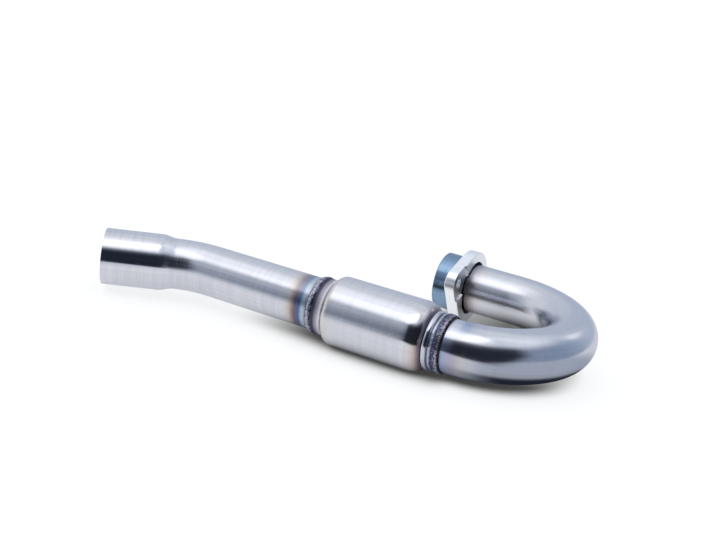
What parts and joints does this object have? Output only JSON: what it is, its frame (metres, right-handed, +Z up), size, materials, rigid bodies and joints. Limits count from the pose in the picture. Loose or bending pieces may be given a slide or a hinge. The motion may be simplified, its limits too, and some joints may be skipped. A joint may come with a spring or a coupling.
{
  "type": "motorcycle exhaust header",
  "caption": "U-bent stainless exhaust header pipe with a welded resonance chamber, a loose two-stud port flange, a port collar and an angled slip socket outlet.",
  "frame": {"origin": "centre of the bottom of the bounding box, on the floor that the header lies on", "axes": "+X along both straight legs towards the U bend, +Y from the chamber towards the inlet leg, +Z up with the header lying at rest on its chamber and flange"},
  "size_m": [0.363, 0.2186, 0.057],
  "materials": {
    "stainless_tube": "satin stainless tube with heat tint beside the welds",
    "stainless_shell": "satin spun stainless shell",
    "weld_metal": "rippled weld bead",
    "plated_steel": "blue zinc plate on turned steel",
    "milled_aluminium": "milled edges and faces"
  },
  "bodies": {
    "header": {"header_pipe": "stainless_tube", "port_collar": "plated_steel", "collar_weld": "weld_metal", "chamber_shell": "stainless_shell", "core_tube": "stainless_tube", "front_weld_bead": "weld_metal", "rear_weld_bead": "weld_metal", "outlet_pipe": "stainless_tube"},
    "flange": {"stud_flange": "milled_aluminium"}
  },
  "joints": [
    {"name": "flange_turn", "type": "hinge", "parent": "header", "child": "flange", "pos_m": [0.05988, 0.06902, 0.0285], "axis": [1, 0, 0], "continuous": true}
  ]
}
